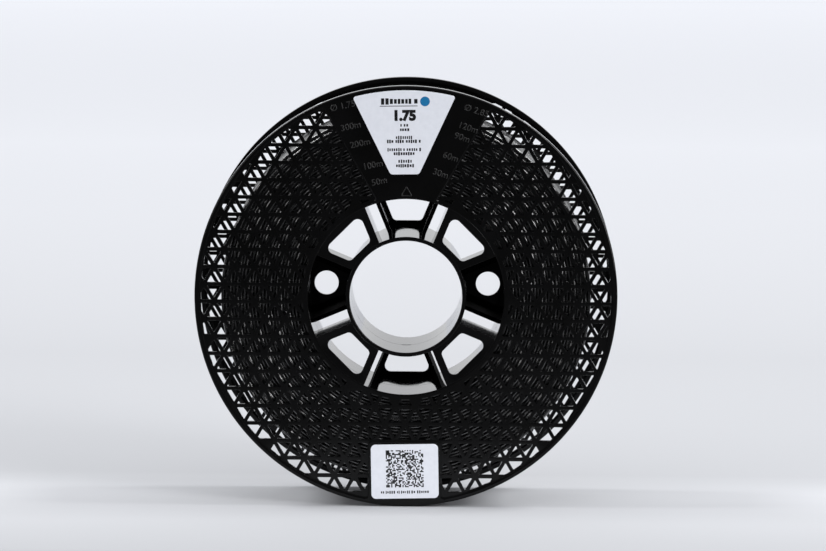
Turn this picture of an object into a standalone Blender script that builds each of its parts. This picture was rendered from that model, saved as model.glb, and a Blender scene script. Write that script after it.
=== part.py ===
"""Filament spool: two moulded halves with open lattice flanges, wound with filament.

The origin is the centre of the spool. Its axis is Y, the front face is at -Y, and +Z is up.
Each half is modelled as the front one, with a depth that runs inwards from its face. The rear
half is the same, turned half a turn about Z, with its own arrangement of hub plates.
"""

import math

import bmesh
import bpy
from mathutils import Matrix

# Driving dimensions, in metres.
FLANGE_RADIUS = 0.100
SPOOL_WIDTH = 0.065
RIM_THICKNESS = 0.0045
RIM_WALL = 0.0026
RIM_ROUNDING = 0.0015
WEB_THICKNESS = 0.0028
LATTICE_RECESS = 0.0006

BARREL_INNER_RADIUS = 0.0465
BARREL_WALL = 0.0018
BORE_RADIUS = 0.0266
BORE_TUBE_WALL = 0.0019
HUB_CHAMFER = 0.0005

LATTICE_PITCH = 0.00827
LATTICE_RIB_WIDTH = 0.0017
LATTICE_SMALLEST_HOLE = 5.5e-6
LATTICE_ROWS = 12
LATTICE_OUTER_RADIUS = 0.0972
PAD_HALF_WIDTH = 0.0172
PAD_ROW = -8
RAISED_MARGIN = 0.0003

HUB_SECTORS = 8
HUB_GAP = 0.0039
PLATE_THICKNESS = 0.0022
PLATE_RECESS = 0.0008
RIB_THICKNESS = 0.0020
WINDOW_SIDE_OFFSET = 0.0054
WINDOW_INNER_DISTANCE = 0.0305
WINDOW_OUTER_DISTANCE = 0.0431
WINDOW_INNER_CORNER = 0.0023
WINDOW_OUTER_CORNER = 0.0029
ROUND_HOLE_RADIUS = 0.0058
ROUND_HOLE_DISTANCE = 0.0390

WINDING_RADIUS = 0.0875
STRAND_DIAMETER = 0.00175
FREE_END_ROW = -7
FREE_END_COLUMN = 7
FREE_END_START_Y = 0.008
FREE_END_SWEEP = math.radians(40)
FREE_END_STEPS = 20

LABEL_THICKNESS = 0.00015
LABEL_TOP_RADIUS = 0.0981
LABEL_TOP_HALF_WIDTH = 0.0243
LABEL_BOTTOM_HEIGHT = 0.0584
LABEL_BOTTOM_HALF_WIDTH = 0.00675
LABEL_CORNER = 0.0018
LABEL_CENTRE_HEIGHT = 0.0770
LABEL_SHIFT = -0.00115
LABEL_TURN = math.radians(0.9)
LOT_LABEL_SIZE = (0.0319, 0.0259)
LOT_LABEL_CENTRE_HEIGHT = -0.0831
LOT_LABEL_CORNER = 0.0022
LOT_LABEL_TURN = math.radians(1.25)

GAP = 0.0003
LABEL_GAP = 0.00005
ROUND_STEPS = 64

# Each kind of hub plate and the angles of their middles, in degrees, in their half's frame.
FRONT_PLATES = {"window": (45, 135, 225, 315)}
REAR_PLATES = {"window": (90, 270), "hole": (0, 180)}
EPSILON = 1e-9

# Worked out from the driving dimensions.
FACE_Y = -SPOOL_WIDTH / 2
SEAM_DEPTH = SPOOL_WIDTH / 2 - GAP / 2
BARREL_OUTER_RADIUS = BARREL_INNER_RADIUS + BARREL_WALL
BORE_TUBE_RADIUS = BORE_RADIUS + BORE_TUBE_WALL
LATTICE_INNER_RADIUS = BARREL_OUTER_RADIUS
LATTICE_SIDE = 2 * LATTICE_PITCH / math.sqrt(3)
PLATE_BACK = PLATE_RECESS + PLATE_THICKNESS
HALF_SECTOR = math.pi / HUB_SECTORS
CIRCUMSCRIBED = 1 / math.cos(math.pi / ROUND_STEPS)


def polar(radius, angle):
    """The point (x, z) at a radius and an angle in radians, measured from +X towards +Z."""
    return radius * math.cos(angle), radius * math.sin(angle)


def arc(radius, start, end, steps):
    return [polar(radius, start + (end - start) * i / steps) for i in range(steps + 1)]


def mirrored(points):
    """The points mirrored in x, in the opposite order, so that an outline keeps its turn."""
    return [(-x, z) for x, z in reversed(points)]


def rounded(outline, corners, radius, steps=3):
    """The outline with the given corners replaced by arcs that touch both their sides."""
    result = []
    for index, (x, z) in enumerate(outline):
        if index not in corners:
            result.append((x, z))
            continue
        sides = []
        for other in (index - 1, (index + 1) % len(outline)):
            dx, dz = outline[other][0] - x, outline[other][1] - z
            length = math.hypot(dx, dz)
            sides.append((dx / length, dz / length))
        (ax, az), (bx, bz) = sides
        half = math.acos(ax * bx + az * bz) / 2
        middle = math.hypot(ax + bx, az + bz)
        reach = radius / math.sin(half)
        cx, cz = x + (ax + bx) / middle * reach, z + (az + bz) / middle * reach
        tangent = radius / math.tan(half)
        start = math.atan2(z + az * tangent - cz, x + ax * tangent - cx)
        end = math.atan2(z + bz * tangent - cz, x + bx * tangent - cx)
        turn = (end - start + math.pi) % (2 * math.pi) - math.pi
        for i in range(steps + 1):
            px, pz = polar(radius, start + turn * i / steps)
            result.append((cx + px, cz + pz))
    return result


def clipped(outline, normal, limit):
    """The part of a convex outline whose distance along the normal is at most the limit."""
    result = []
    for index, point in enumerate(outline):
        before = outline[index - 1]
        reach = [p[0] * normal[0] + p[1] * normal[1] - limit for p in (before, point)]
        if (reach[0] > 0) != (reach[1] > 0):
            share = reach[0] / (reach[0] - reach[1])
            result.append(tuple(a + (b - a) * share for a, b in zip(before, point)))
        if reach[1] <= 0:
            result.append(point)
    return result


def area(outline):
    pairs = zip(outline, outline[1:] + outline[:1])
    return abs(sum(a[0] * b[1] - b[0] * a[1] for a, b in pairs)) / 2


def mesh_from(bm, name, smooth_angle=None):
    bmesh.ops.recalc_face_normals(bm, faces=bm.faces)
    mesh = bpy.data.meshes.new(name)
    bm.to_mesh(mesh)
    bm.free()
    if smooth_angle is not None:
        mesh.shade_smooth()
        mesh.set_sharp_from_angle(angle=math.radians(smooth_angle))
    return mesh


def prisms(name, outlines, near, far):
    """One mesh of straight prisms whose outlines lie across the axis, between two depths."""
    bm = bmesh.new()
    for outline in outlines:
        face = bm.faces.new([bm.verts.new((x, FACE_Y + near, z)) for x, z in outline])
        grown = bmesh.ops.extrude_face_region(bm, geom=[face])["geom"]
        moved = [item for item in grown if isinstance(item, bmesh.types.BMVert)]
        bmesh.ops.translate(bm, verts=moved, vec=(0, far - near, 0))
    return mesh_from(bm, name)


def turned(name, profile, smooth_angle=30):
    """A ring about the axis from a closed profile of (radius, depth) points."""
    bm = bmesh.new()
    rings = []
    for step in range(ROUND_STEPS):
        angle = (step + 0.5) * 2 * math.pi / ROUND_STEPS
        ring = []
        for radius, depth in profile:
            x, z = polar(radius, angle)
            ring.append(bm.verts.new((x, FACE_Y + depth, z)))
        rings.append(ring)
    for ring, following in zip(rings, rings[1:] + rings[:1]):
        for i, vertex in enumerate(ring):
            j = (i + 1) % len(profile)
            bm.faces.new((vertex, ring[j], following[j], following[i]))
    return mesh_from(bm, name, smooth_angle)


def material(name, colour, roughness, metallic=0.0):
    result = bpy.data.materials.new(name)
    result.use_nodes = True
    shader = result.node_tree.nodes["Principled BSDF"]
    shader.inputs["Base Color"].default_value = (*colour, 1)
    shader.inputs["Roughness"].default_value = roughness
    shader.inputs["Metallic"].default_value = metallic
    result.diffuse_color = (*colour, 1)
    return result


def place(name, mesh, finish, parent, angle=0.0):
    """An object in a half's frame, turned about the axis by an angle from +X towards +Z."""
    obj = bpy.data.objects.new(name, mesh)
    bpy.context.collection.objects.link(obj)
    if finish:
        mesh.materials.clear()
        mesh.materials.append(finish)
    obj.parent = parent
    obj.matrix_local = Matrix.Rotation(-angle, 4, "Y")
    return obj


def cut_mesh(mesh, cutters):
    """The mesh with the cutter meshes taken out of it, one after another."""
    body = bpy.data.objects.new("blank", mesh)
    bpy.context.collection.objects.link(body)
    helpers = [body]
    for cutter_mesh in cutters:
        cutter = bpy.data.objects.new("cutter", cutter_mesh)
        bpy.context.collection.objects.link(cutter)
        helpers.append(cutter)
        modifier = body.modifiers.new("cut", "BOOLEAN")
        modifier.operation = "DIFFERENCE"
        modifier.object = cutter
    bpy.context.view_layer.update()
    graph = bpy.context.evaluated_depsgraph_get()
    result = bpy.data.meshes.new_from_object(body.evaluated_get(graph))
    for helper in helpers:
        bpy.data.objects.remove(helper)
    return result


# The lattice: three families of ribs, each a row every LATTICE_PITCH, that meet in nodes.


def row_height(row):
    return (row - 1 / 3) * LATTICE_PITCH


def node_x(row, column):
    return (column + 0.5 * ((row + 1) % 2)) * LATTICE_SIDE


def lattice_triangles():
    """Every lattice triangle that could touch the flange, as three nodes."""
    for row in range(-LATTICE_ROWS, LATTICE_ROWS):
        low, high = row_height(row), row_height(row + 1)
        for column in range(-LATTICE_ROWS, LATTICE_ROWS):
            left = node_x(row, column)
            yield [(left, low), (left + LATTICE_SIDE, low), (left + LATTICE_SIDE / 2, high)]
            left = node_x(row + 1, column)
            yield [(left, high), (left + LATTICE_SIDE / 2, low), (left + LATTICE_SIDE, high)]


def sector_line_distance():
    """How far the two rib lines that bound the label sector pass from the axis."""
    return 4 / 3 * LATTICE_PITCH


def in_label_sector(x, z):
    across, along = math.cos(math.radians(30)), math.sin(math.radians(30))
    return z * along - abs(x) * across > sector_line_distance()


def lattice_hole(triangle):
    """The hole in one lattice triangle, cut back at the hub, the rim and the lot pad."""
    cx = sum(x for x, z in triangle) / 3
    cz = sum(z for x, z in triangle) / 3
    distance = math.hypot(cx, cz)
    if in_label_sector(cx, cz) or not LATTICE_INNER_RADIUS / 2 < distance:
        return []
    inset = 1 - LATTICE_RIB_WIDTH / 2 / (LATTICE_PITCH / 3)
    hole = [(cx + (x - cx) * inset, cz + (z - cz) * inset) for x, z in triangle]
    outward = (cx / distance, cz / distance)
    hole = clipped(hole, outward, LATTICE_OUTER_RADIUS)
    hole = clipped(hole, (-outward[0], -outward[1]), -LATTICE_INNER_RADIUS)
    if cz < row_height(PAD_ROW):
        side = -1 if cx > 0 else 1
        hole = clipped(hole, (side, 0), -PAD_HALF_WIDTH - RAISED_MARGIN)
    return hole


def lattice_holes():
    holes = [lattice_hole(triangle) for triangle in lattice_triangles()]
    return [hole for hole in holes if len(hole) > 2 and area(hole) > LATTICE_SMALLEST_HOLE]


def recess_outline():
    """The area round the hub where the lattice lies deeper than the rim, sector and pad."""
    outer, inner = FLANGE_RADIUS - RIM_WALL - RAISED_MARGIN, LATTICE_INNER_RADIUS - RAISED_MARGIN
    distance = sector_line_distance() - RAISED_MARGIN
    sector_outer = math.radians(150) - math.acos(distance / outer)
    sector_inner = math.radians(150) - math.acos(distance / inner)
    pad_angle = -math.acos(PAD_HALF_WIDTH / outer)
    pad_top = row_height(PAD_ROW) + RAISED_MARGIN
    right = arc(outer, sector_outer, pad_angle, ROUND_STEPS // 2)
    right.append((PAD_HALF_WIDTH, pad_top))
    hub = arc(inner, math.pi - sector_inner, 2 * math.pi + sector_inner, ROUND_STEPS)
    return right + mirrored(right) + hub


def flange_mesh():
    rim = FLANGE_RADIUS * CIRCUMSCRIBED
    blank = turned(
        "flange_blank",
        [
            (BARREL_INNER_RADIUS, HUB_CHAMFER),
            (BARREL_INNER_RADIUS + HUB_CHAMFER, 0),
            (rim - RIM_ROUNDING, 0),
            (rim - RIM_ROUNDING / 3, RIM_ROUNDING / 3),
            (rim, RIM_ROUNDING),
            (rim, RIM_THICKNESS),
            (rim - RIM_WALL, RIM_THICKNESS),
            (rim - RIM_WALL, WEB_THICKNESS),
            (BARREL_INNER_RADIUS, WEB_THICKNESS),
        ],
    )
    overrun = WEB_THICKNESS
    recess = prisms("recess_cutter", [recess_outline()], -overrun, LATTICE_RECESS)
    holes = prisms("lattice_cutter", lattice_holes(), -overrun, WEB_THICKNESS + overrun)
    return cut_mesh(blank, [recess, holes])


def barrel_mesh():
    start = WEB_THICKNESS + GAP
    return turned(
        "barrel",
        [
            (BARREL_INNER_RADIUS, start),
            (BARREL_OUTER_RADIUS, start),
            (BARREL_OUTER_RADIUS, SEAM_DEPTH),
            (BARREL_INNER_RADIUS, SEAM_DEPTH),
        ],
    )


def bore_tube_mesh():
    return turned(
        "bore_tube",
        [
            (BORE_RADIUS, PLATE_RECESS + HUB_CHAMFER),
            (BORE_RADIUS + HUB_CHAMFER, PLATE_RECESS),
            (BORE_TUBE_RADIUS, PLATE_RECESS),
            (BORE_TUBE_RADIUS, SEAM_DEPTH),
            (BORE_RADIUS, SEAM_DEPTH),
        ],
    )


# A hub sector lies round +X. Its sides run parallel to the radii that divide the sectors.


def side_point(radius, offset):
    """Where the line at an offset inside the upper dividing radius crosses a radius."""
    return polar(radius, HALF_SECTOR - math.asin(offset / radius))


def plate_outline():
    inner, outer = BORE_TUBE_RADIUS + GAP, BARREL_INNER_RADIUS - GAP
    inner_angle = HALF_SECTOR - math.asin(HUB_GAP / 2 / inner)
    outer_angle = HALF_SECTOR - math.asin(HUB_GAP / 2 / outer)
    steps = ROUND_STEPS // HUB_SECTORS
    return arc(outer, -outer_angle, outer_angle, steps) + arc(inner, inner_angle, -inner_angle, steps)


def window_half_width(distance):
    return distance * math.tan(HALF_SECTOR) - WINDOW_SIDE_OFFSET / math.cos(HALF_SECTOR)


def window_outline():
    """A window with four straight sides, two of them parallel to the sector's sides."""
    outer, inner = WINDOW_OUTER_DISTANCE, WINDOW_INNER_DISTANCE
    outer_half, inner_half = window_half_width(outer), window_half_width(inner)
    outline = [(outer, -outer_half), (outer, outer_half), (inner, inner_half), (inner, -inner_half)]
    outline = rounded(outline, (2, 3), WINDOW_INNER_CORNER)
    return rounded(outline, (0, 1), WINDOW_OUTER_CORNER)


def round_hole_outline():
    circle = arc(ROUND_HOLE_RADIUS, 0, 2 * math.pi, ROUND_STEPS // 2)[:-1]
    return [(ROUND_HOLE_DISTANCE + x, z) for x, z in circle]


def plate_mesh(name, opening):
    blank = prisms(name + "_blank", [plate_outline()], PLATE_RECESS, PLATE_BACK)
    return cut_mesh(blank, [prisms("opening", [opening], -PLATE_BACK, 2 * PLATE_BACK)])


def rib_mesh():
    """The wall along a plate's upper side, from the plate to the seam."""
    inner, outer = BORE_TUBE_RADIUS + GAP, BARREL_INNER_RADIUS - GAP
    near, far = HUB_GAP / 2, HUB_GAP / 2 + RIB_THICKNESS
    outline = [
        side_point(inner, near),
        side_point(inner, far),
        side_point(outer, far),
        side_point(outer, near),
    ]
    return prisms("rib", [outline], PLATE_BACK + GAP, SEAM_DEPTH)


def flipped(mesh, name):
    """The mesh mirrored in z, for the wall along a plate's lower side."""
    result = mesh.copy()
    result.name = name
    result.transform(Matrix.Scale(-1, 4, (0, 0, 1)))
    result.flip_normals()
    return result


def half_frame(name, turn):
    frame = bpy.data.objects.new(name, None)
    bpy.context.collection.objects.link(frame)
    frame.rotation_euler = (0, 0, turn)
    return frame


def build_half(side, frame, meshes, plates, finish):
    """One moulded half, as its flange, barrel, bore tube, hub plates and their ribs."""
    place(f"{side}_flange", meshes["flange"], finish, frame)
    place(f"{side}_barrel", meshes["barrel"], finish, frame)
    place(f"{side}_bore_tube", meshes["bore_tube"], finish, frame)
    rib = 0
    for kind, middles in plates.items():
        for number, middle in enumerate(middles, 1):
            angle = math.radians(middle)
            place(f"{side}_{kind}_plate_{number}", meshes[kind], finish, frame, angle)
            for wall in ("upper_rib", "lower_rib"):
                rib += 1
                place(f"{side}_rib_{rib}", meshes[wall], finish, frame, angle)


def winding_mesh():
    start, end = WEB_THICKNESS + GAP, SPOOL_WIDTH - WEB_THICKNESS - GAP
    inner = (BARREL_OUTER_RADIUS + GAP) * CIRCUMSCRIBED
    profile = [(inner, start), (WINDING_RADIUS, start), (WINDING_RADIUS, end), (inner, end)]
    return turned("filament_winding", profile)


def free_end_points():
    """The loose end: it lies on the winding, lifts off it and runs out through the rear flange."""
    hole_x = node_x(FREE_END_ROW, FREE_END_COLUMN) + LATTICE_SIDE / 2
    hole_z = row_height(FREE_END_ROW) + LATTICE_PITCH / 3
    end_angle, end_radius = math.atan2(hole_z, hole_x), math.hypot(hole_x, hole_z)
    lying_radius = WINDING_RADIUS + GAP + STRAND_DIAMETER / 2
    straight_y = SPOOL_WIDTH / 2 - RIM_THICKNESS - STRAND_DIAMETER
    points = []
    for i in range(FREE_END_STEPS + 1):
        share = i / FREE_END_STEPS
        ease = share * share * (3 - 2 * share)
        turn = 1 - (1 - share) ** 2
        angle = end_angle - FREE_END_SWEEP * (1 - turn)
        radius = lying_radius + (end_radius - lying_radius) * ease
        x, z = polar(radius, angle)
        points.append((x, FREE_END_START_Y + (straight_y - FREE_END_START_Y) * share**2, z))
    points.append((hole_x, SPOOL_WIDTH / 2 - GAP, hole_z))
    return points


def free_end_mesh():
    """The loose end as a round tube about its path."""
    curve = bpy.data.curves.new("free_end_path", "CURVE")
    curve.dimensions = "3D"
    curve.bevel_depth = STRAND_DIAMETER / 2
    curve.bevel_resolution = 1
    curve.use_fill_caps = True
    points = free_end_points()
    spline = curve.splines.new("POLY")
    spline.points.add(len(points) - 1)
    for point, place_at in zip(spline.points, points):
        point.co = (*place_at, 1)
    path = bpy.data.objects.new("free_end_path", curve)
    bpy.context.collection.objects.link(path)
    bpy.context.view_layer.update()
    graph = bpy.context.evaluated_depsgraph_get()
    bm = bmesh.new()
    bm.from_mesh(bpy.data.meshes.new_from_object(path.evaluated_get(graph)))
    bmesh.ops.remove_doubles(bm, verts=bm.verts, dist=EPSILON)
    bpy.data.objects.remove(path)
    return mesh_from(bm, "filament_free_end", 50)


def stuck(outline, height, turn, shift=0):
    """A label's outline round the origin, turned a little, then moved to its place."""
    c, s = math.cos(turn), math.sin(turn)
    return [(x * c - z * s + shift, x * s + z * c + height) for x, z in outline]


def main_label_outline():
    spread = math.asin(LABEL_TOP_HALF_WIDTH / LABEL_TOP_RADIUS)
    outline = arc(LABEL_TOP_RADIUS, math.pi / 2 - spread, math.pi / 2 + spread, 10)
    last = len(outline) - 1
    outline += [
        (-LABEL_BOTTOM_HALF_WIDTH, LABEL_BOTTOM_HEIGHT),
        (LABEL_BOTTOM_HALF_WIDTH, LABEL_BOTTOM_HEIGHT),
    ]
    outline = rounded(outline, (0, last, last + 1, last + 2), LABEL_CORNER)
    centred = [(x, z - LABEL_CENTRE_HEIGHT) for x, z in outline]
    return stuck(centred, LABEL_CENTRE_HEIGHT, LABEL_TURN, LABEL_SHIFT)


def lot_label_outline():
    half_x, half_z = LOT_LABEL_SIZE[0] / 2, LOT_LABEL_SIZE[1] / 2
    corners = [(half_x, -half_z), (half_x, half_z), (-half_x, half_z), (-half_x, -half_z)]
    outline = rounded(corners, range(4), LOT_LABEL_CORNER)
    return stuck(outline, LOT_LABEL_CENTRE_HEIGHT, LOT_LABEL_TURN)


def label_mesh(name, outline):
    return prisms(name, [outline], -LABEL_GAP - LABEL_THICKNESS, -LABEL_GAP)


def main():
    for obj in list(bpy.data.objects):
        bpy.data.objects.remove(obj)
    plastic = material("black_plastic", (0.012, 0.012, 0.013), 0.25)
    filament = material("filament_plastic", (0.020, 0.021, 0.024), 0.30)
    paper = material("label_paper", (0.80, 0.80, 0.84), 0.45)
    rib = rib_mesh()
    meshes = {
        "flange": flange_mesh(),
        "barrel": barrel_mesh(),
        "bore_tube": bore_tube_mesh(),
        "window": plate_mesh("window_plate", window_outline()),
        "hole": plate_mesh("hole_plate", round_hole_outline()),
        "upper_rib": rib,
        "lower_rib": flipped(rib, "lower_rib"),
    }
    front = half_frame("front_half", 0)
    rear = half_frame("rear_half", math.pi)
    build_half("front", front, meshes, FRONT_PLATES, plastic)
    build_half("rear", rear, meshes, REAR_PLATES, plastic)
    place("filament_winding", winding_mesh(), filament, front)
    place("filament_free_end", free_end_mesh(), filament, front)
    place("main_label", label_mesh("main_label", main_label_outline()), paper, front)
    place("lot_label", label_mesh("lot_label", lot_label_outline()), paper, front)


main()
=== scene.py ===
"""The looks of a wound filament spool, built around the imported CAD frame.

Both halves are modelled as the front one, with a depth that runs inwards from its face. The rear
half is the same, turned half a turn about Z, with its own arrangement of hub plates.
"""

import math
import random

import bmesh
import bpy
from mathutils import Matrix, Vector, geometry


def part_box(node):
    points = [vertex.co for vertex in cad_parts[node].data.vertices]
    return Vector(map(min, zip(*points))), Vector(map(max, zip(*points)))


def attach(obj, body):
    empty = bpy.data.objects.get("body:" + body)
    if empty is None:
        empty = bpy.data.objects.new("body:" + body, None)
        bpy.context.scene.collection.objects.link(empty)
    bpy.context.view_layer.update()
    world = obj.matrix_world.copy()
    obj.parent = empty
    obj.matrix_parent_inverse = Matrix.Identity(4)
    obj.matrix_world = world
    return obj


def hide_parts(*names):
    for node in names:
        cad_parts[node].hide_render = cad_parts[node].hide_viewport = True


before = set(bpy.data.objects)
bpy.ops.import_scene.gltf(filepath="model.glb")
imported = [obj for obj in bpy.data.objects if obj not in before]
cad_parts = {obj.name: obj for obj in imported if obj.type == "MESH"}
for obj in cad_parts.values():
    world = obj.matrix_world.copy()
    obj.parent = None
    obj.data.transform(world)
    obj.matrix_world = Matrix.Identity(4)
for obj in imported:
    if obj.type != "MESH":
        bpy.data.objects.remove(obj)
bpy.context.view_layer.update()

# Sizes read from the frame, in metres.
CAD_STEPS = 64
CAD_FACET = math.cos(math.pi / CAD_STEPS)
FACE_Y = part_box("front_flange")[0].y
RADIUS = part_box("front_flange")[1].x
HALF_WIDTH = -FACE_Y


def radius_of(node):
    """The outer radius of a faceted round CAD node."""
    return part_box(node)[1].x / CAD_FACET


def depths_of(node):
    """How far a node's front and back lie behind the front face."""
    low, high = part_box(node)
    return low.y - FACE_Y, high.y - FACE_Y


RIM_DEPTH = depths_of("front_flange")[1]
PLATE_FRONT, PLATE_BACK = depths_of("front_window_plate_1")
BARREL_RADIUS = radius_of("front_barrel")
BORE_TUBE_RADIUS = radius_of("front_bore_tube")
WINDING_RADIUS = radius_of("filament_winding")
WINDING_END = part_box("filament_winding")[1].y
LABEL_FRONT = depths_of("main_label")[0]

# The moulding's own sizes.
WEB_DEPTH = 0.0028
RECESS = 0.0006
RIM_WALL = 0.0024
RIM_ROUNDING = 0.0008
SMALL_ROUNDING = 0.0004
STEP_TOP = 0.00050
STEP_FOOT = 0.00025
STEP_FALL = 0.8
STEP_CORNER = 0.0014
STEP_BEYOND_SECTOR = 0.00035
STEP_BEYOND_PAD = 0.0003
BARREL_WALL = 0.0018
BORE_WALL = 0.0019
CREST_RADIUS = BARREL_RADIUS - 0.0009
CONE_SLOPE = math.tan(math.radians(4))
HUB_RING_FALL = math.radians(2)
SEAM_GAP = 0.00005
BEVEL = 0.0002
BORE_LIP = 0.0005
BORE_RIM = 0.0003
NOTCH_HALF_WIDTH = 0.0019
NOTCH_DEPTH = 0.0007

LATTICE_PITCH = 0.00827
LATTICE_SIDE = 2 * LATTICE_PITCH / math.sqrt(3)
LATTICE_ROWS = 12
LATTICE_RIB = 0.0017
LATTICE_SMALLEST_HOLE = 5.0e-6
LATTICE_OUTER = RADIUS - 0.0031
LATTICE_INNER = BARREL_RADIUS + 0.0006
LATTICE_EDGE = 0.00010
LATTICE_CORNER = 0.0002
PAD_HALF_WIDTH = 0.0172
PAD_ROW = -8
SECTOR_HALF_ANGLE = math.radians(30)
SECTOR_INSET = 4 / 3 * LATTICE_PITCH

HUB_SECTORS = 8
HALF_SECTOR = math.pi / HUB_SECTORS
HUB_GAP = 0.0039
HUB_EDGE = 0.00014
RIB_THICKNESS = 0.0020
RIB_SETBACK = 0.00003
RIB_EXTRA = 0.0008
WINDOW_SIDE_OFFSET = 0.0054
WINDOW_INNER = 0.0305
WINDOW_OUTER = 0.0431
WINDOW_INNER_CORNER = 0.0023
WINDOW_OUTER_CORNER = 0.0029
ROUND_HOLE_RADIUS = 0.0058
ROUND_HOLE_DISTANCE = 0.0390
TUCK = 0.0002
HIDDEN_EDGE = 0.00001

STRAND = 0.00175
STRAND_PITCH = 0.00171
STRAND_GAP = 0.0003
FREE_END_ROW, FREE_END_COLUMN = -7, 7
FREE_END_SWEEP = math.radians(40)

RIM_STEPS = 256
HUB_STEPS = 192
TUBE_SIDES = 10
FACE_RING_STEPS = 160
HELIX_STEPS = 96
FREE_END_STEPS = 60

# The middles of each half's plates, in degrees about the bore from +X towards +Z.
TOP = 90
FRONT_PLATES = {"window": (45, 135, 225, 315)}
REAR_PLATES = {"window": (TOP, 270), "hole": (0, 180)}


# Outlines: lists of (x, z) points. The material lies to the left of an outline's travel.


def polar(radius, angle):
    return radius * math.cos(angle), radius * math.sin(angle)


def arc(radius, start, end, steps):
    return [polar(radius, start + (end - start) * i / steps) for i in range(steps + 1)]


def circle(radius, steps):
    return arc(radius, 0, 2 * math.pi, steps)[:-1]


def mirrored(points):
    return [(-x, z) for x, z in reversed(points)]


def shifted(points, dx, dz):
    return [(x + dx, z + dz) for x, z in points]


def inset(outline, distance):
    """The outline moved into its material by a distance, with mitred corners."""
    result = []
    for index, (x, z) in enumerate(outline):
        before, after = outline[index - 1], outline[(index + 1) % len(outline)]
        normals = []
        for start, end in ((before, (x, z)), ((x, z), after)):
            dx, dz = end[0] - start[0], end[1] - start[1]
            length = math.hypot(dx, dz)
            normals.append((-dz / length, dx / length))
        (ax, az), (bx, bz) = normals
        share = distance / (1 + ax * bx + az * bz)
        result.append((x + (ax + bx) * share, z + (az + bz) * share))
    return result


def rounded(outline, radius, corners=None, steps=3):
    """The outline with its corners, or the given ones, replaced by arcs that touch both sides."""
    result = []
    for index, (x, z) in enumerate(outline):
        if corners is not None and index not in corners:
            result.append((x, z))
            continue
        sides = []
        for other in (index - 1, (index + 1) % len(outline)):
            dx, dz = outline[other][0] - x, outline[other][1] - z
            length = math.hypot(dx, dz)
            sides.append((dx / length, dz / length, length))
        (ax, az, a_length), (bx, bz, b_length) = sides
        half = math.acos(max(-1, min(1, ax * bx + az * bz))) / 2
        tangent = min(radius / math.tan(half), 0.45 * a_length, 0.45 * b_length)
        fillet = tangent * math.tan(half)
        middle = math.hypot(ax + bx, az + bz)
        reach = fillet / math.sin(half)
        cx, cz = x + (ax + bx) / middle * reach, z + (az + bz) / middle * reach
        start = math.atan2(z + az * tangent - cz, x + ax * tangent - cx)
        end = math.atan2(z + bz * tangent - cz, x + bx * tangent - cx)
        turn = (end - start + math.pi) % (2 * math.pi) - math.pi
        result += shifted(arc(fillet, start, start + turn, steps), cx, cz)
    return result


def clipped(outline, normal, limit):
    """The part of a convex outline whose distance along the normal is at most the limit."""
    result = []
    for index, point in enumerate(outline):
        before = outline[index - 1]
        reach = [p[0] * normal[0] + p[1] * normal[1] - limit for p in (before, point)]
        if (reach[0] > 0) != (reach[1] > 0):
            share = reach[0] / (reach[0] - reach[1])
            result.append(tuple(a + (b - a) * share for a, b in zip(before, point)))
        if reach[1] <= 0:
            result.append(point)
    return result


def signed_area(outline):
    pairs = zip(outline, outline[1:] + outline[:1])
    return sum(a[0] * b[1] - b[0] * a[1] for a, b in pairs) / 2


def without_short_sides(outline, shortest=2e-4):
    kept = []
    for point in outline:
        if not kept or math.dist(point, kept[-1]) > shortest:
            kept.append(point)
    while len(kept) > 2 and math.dist(kept[0], kept[-1]) <= shortest:
        kept.pop()
    return kept


# Mesh building: loops of vertices at a depth, the strips between them and the flat fills.


def edge_steps(count=2):
    """Shares of a rounded edge as (inset, depth), from its flat face to its wall."""
    angles = [math.pi / 2 * i / count for i in range(count + 1)]
    return [(1 - math.sin(a), 1 - math.cos(a)) for a in angles]


def add_loop(bm, outline, depth):
    return [bm.verts.new((x, FACE_Y + depth, z)) for x, z in outline]


def bridge(bm, first, second):
    for i, vertex in enumerate(first):
        j = (i + 1) % len(first)
        bm.faces.new((vertex, first[j], second[j], second[i]))


def bridge_all(bm, loops):
    for first, second in zip(loops, loops[1:]):
        bridge(bm, first, second)


def surrounds(outline, x, z):
    """Whether the outline goes round a point."""
    crossings = 0
    for (ax, az), (bx, bz) in zip(outline, outline[1:] + outline[:1]):
        if (az > z) != (bz > z) and x < ax + (z - az) / (bz - az) * (bx - ax):
            crossings += 1
    return crossings % 2 == 1


def fill(bm, loops):
    """Triangles between an outer loop and the loops inside it, without new vertices."""
    outlines = [[(v.co.x, v.co.z) for v in loop] for loop in loops]
    verts = [(vertex, index) for index, loop in enumerate(loops) for vertex in loop]
    edges, start = [], 0
    for loop in loops:
        count = len(loop)
        edges += [(start + i, start + (i + 1) % count) for i in range(count)]
        start += count
    points = [Vector(point) for outline in outlines for point in outline]
    made = geometry.delaunay_2d_cdt(points, edges, [], 0, 1e-9)
    for face in made[2]:
        corners = [verts[made[3][i][0]] for i in face]
        owners = {owner for _, owner in corners}
        if len(owners) == 1:
            owner = owners.pop()
            x = sum(vertex.co.x for vertex, _ in corners) / 3
            z = sum(vertex.co.z for vertex, _ in corners) / 3
            if surrounds(outlines[owner], x, z) != (owner == 0):
                continue
        bm.faces.new([vertex for vertex, _ in corners])


def walls(bm, outline, front, back, front_edge, back_edge):
    """The side of one outline, with both edges rounded, as (front loop, back loop)."""
    steps = edge_steps()
    loops = [add_loop(bm, inset(outline, front_edge * a), front + front_edge * b) for a, b in steps]
    loops += [
        add_loop(bm, inset(outline, back_edge * a), back - back_edge * b) for a, b in reversed(steps)
    ]
    bridge_all(bm, loops)
    return loops[0], loops[-1]


def slab(bm, outline, holes, front, back, front_edge, back_edge):
    """A flat plate with rounded edges."""
    sides = [walls(bm, loop, front, back, front_edge, back_edge) for loop in [outline, *holes]]
    fill(bm, [side[0] for side in sides])
    fill(bm, [side[1] for side in sides])


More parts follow.
